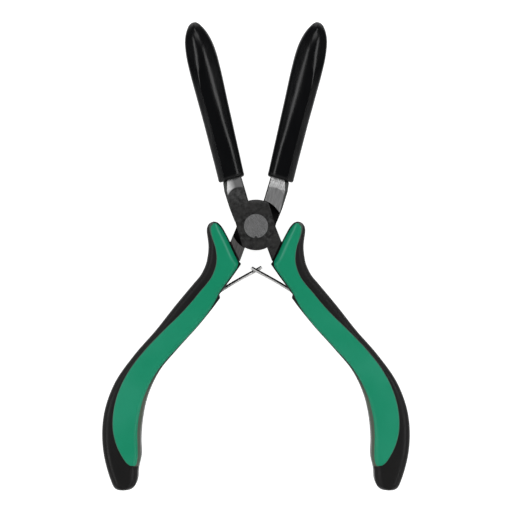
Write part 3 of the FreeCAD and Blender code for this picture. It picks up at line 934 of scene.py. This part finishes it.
def make_grips():
    """The right grip, its front and rear inlays, and the mirror image of each for the left."""
    black, green = black_plastic(), green_rubber()
    shell_mesh = ring_mesh("right_grip_shell", grip_rings())
    surface = BVHTree.FromPolygons([v.co for v in shell_mesh.vertices],
                                   [tuple(p.vertices) for p in shell_mesh.polygons])
    shell = add_piece("right_grip_shell", shell_mesh, black)
    cut_channel(shell)
    front = add_piece("right_front_inlay", inlay_mesh("right_front_inlay", surface), green)
    rear = add_object("right_rear_inlay", mirrored(front.data, "right_rear_inlay", 2))
    for piece, node, slot in ((shell, "grip_body", "grip_black"),
                              (front, "grip_front_inlay", "grip_green"),
                              (rear, "grip_rear_inlay", "grip_green")):
        left_name = piece.name.replace("right", "left")
        twin = add_object(left_name, mirrored(piece.data, left_name, 0))
        for half, side, body in ((piece, "right", "upper_half"), (twin, "left", "lower_half")):
            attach(half, body)
            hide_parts(side + "_" + node)


def make_leaves():
    """The right leaf has the slot, and the left leaf the tongue that passes through it."""
    full = bands_across(-LEAF_HALF_WIDTH, -SLOT_HALF_WIDTH, SLOT_HALF_WIDTH, LEAF_HALF_WIDTH)
    slot_start, slot_end = LEAF_LENGTH - SLOT_BEFORE, LEAF_LENGTH + SLOT_AFTER
    slotted = [
        (0, slot_start, full),
        (slot_start, slot_end, [full[0], full[-1]]),
        (slot_end, slot_end + SLOT_END_BAR, full),
    ]
    full = bands_across(-LEAF_HALF_WIDTH, -TONGUE_HALF_WIDTH, TONGUE_HALF_WIDTH, LEAF_HALF_WIDTH)
    shoulder = LEAF_LENGTH - TONGUE_SHOULDER
    tongued = [
        (0, shoulder, full),
        (shoulder, LEAF_LENGTH + TONGUE_REACH, [full[1]]),
    ]
    for name, stations, side, body in (("right_leaf_strip", slotted, 1, "right_leaf"),
                                       ("left_leaf_strip", tongued, -1, "left_leaf")):
        piece = leaf_piece(name, stations, side, spring_steel(side))
        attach(piece, body)
        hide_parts(body + "_spring_blade")


def finish_steel():
    """Materials for the CAD nodes that stay, and slightly rounded edges for the two steel halves."""
    rivet = rivet_steel()
    looks = {"upper_half_steel": upper_steel(), "lower_half_steel": lower_steel(), "pivot_rivet": rivet,
             "right_leaf_spring_root": rivet, "left_leaf_spring_root": rivet,
             "right_leaf_rivet": rivet, "left_leaf_rivet": rivet}
    for node, material in looks.items():
        thing = frame["nodes"][node]
        thing.data.materials.clear()
        thing.data.materials.append(material)
    for node in ("upper_half_steel", "lower_half_steel"):
        bevel = frame["nodes"][node].modifiers.new("edges", "BEVEL")
        bevel.width = STEEL_BEVEL * MM
        bevel.segments = 2
        bevel.limit_method = "ANGLE"
        bevel.angle_limit = STEEL_BEVEL_ANGLE


def softbox(name, position, size, glow):
    """A rectangular light facing the middle, with power for its area so that any size glows alike."""
    data = bpy.data.lights.new(name, "AREA")
    data.shape = "RECTANGLE"
    data.size, data.size_y = size
    data.energy = glow * math.pi * size[0] * size[1]
    light = add_object(name, data)
    light.location = position
    light.rotation_mode = "QUATERNION"
    light.rotation_quaternion = (Vector((0, 0, 0)) - Vector(position)).to_track_quat("-Z", "Y")


def make_studio():
    """The floor, the softboxes and the dark surround."""
    floor_mesh = bpy.data.meshes.new("floor")
    corners = [(x * FLOOR_REACH, y * FLOOR_REACH, 0) for x, y in ((-1, -1), (1, -1), (1, 1), (-1, 1))]
    floor_mesh.from_pydata(corners, [], [(0, 1, 2, 3)])
    add_piece("floor", floor_mesh, pale_floor())
    for name, x, y, tilt, size, glow in (("right", 1, 0, SIDE_TILT, SIDE_SIZE, SIDE_GLOW),
                                         ("left", -1, 0, SIDE_TILT, SIDE_SIZE, SIDE_GLOW),
                                         ("back", 0, 1, END_TILT, END_SIZE, BACK_GLOW),
                                         ("front", 0, -1, END_TILT, END_SIZE, FRONT_GLOW)):
        out, lift = PANEL_DISTANCE * math.sin(tilt), PANEL_DISTANCE * math.cos(tilt)
        softbox(name + "_softbox", (x * out, y * out, lift), size, glow)
    world = bpy.data.worlds.new("studio")
    world.use_nodes = True
    background = world.node_tree.nodes["Background"]
    background.inputs["Color"].default_value = (1, 1, 1, 1)
    background.inputs["Strength"].default_value = WORLD_GLOW
    bpy.context.scene.world = world
    bpy.context.scene.view_settings.view_transform = "Standard"


def make_camera():
    """Straight above the origin, so far up that VIEW_WIDTH at the pivot's level fills the picture."""
    data = bpy.data.cameras.new("camera")
    data.lens = LENS
    data.sensor_width = SENSOR
    camera = add_object("camera", data)
    camera.location = (0, 0, PIVOT.z + VIEW_WIDTH * MM * LENS / SENSOR)
    bpy.context.scene.camera = camera


make_camera()
make_studio()
make_sleeves()
make_grips()
make_leaves()
finish_steel()
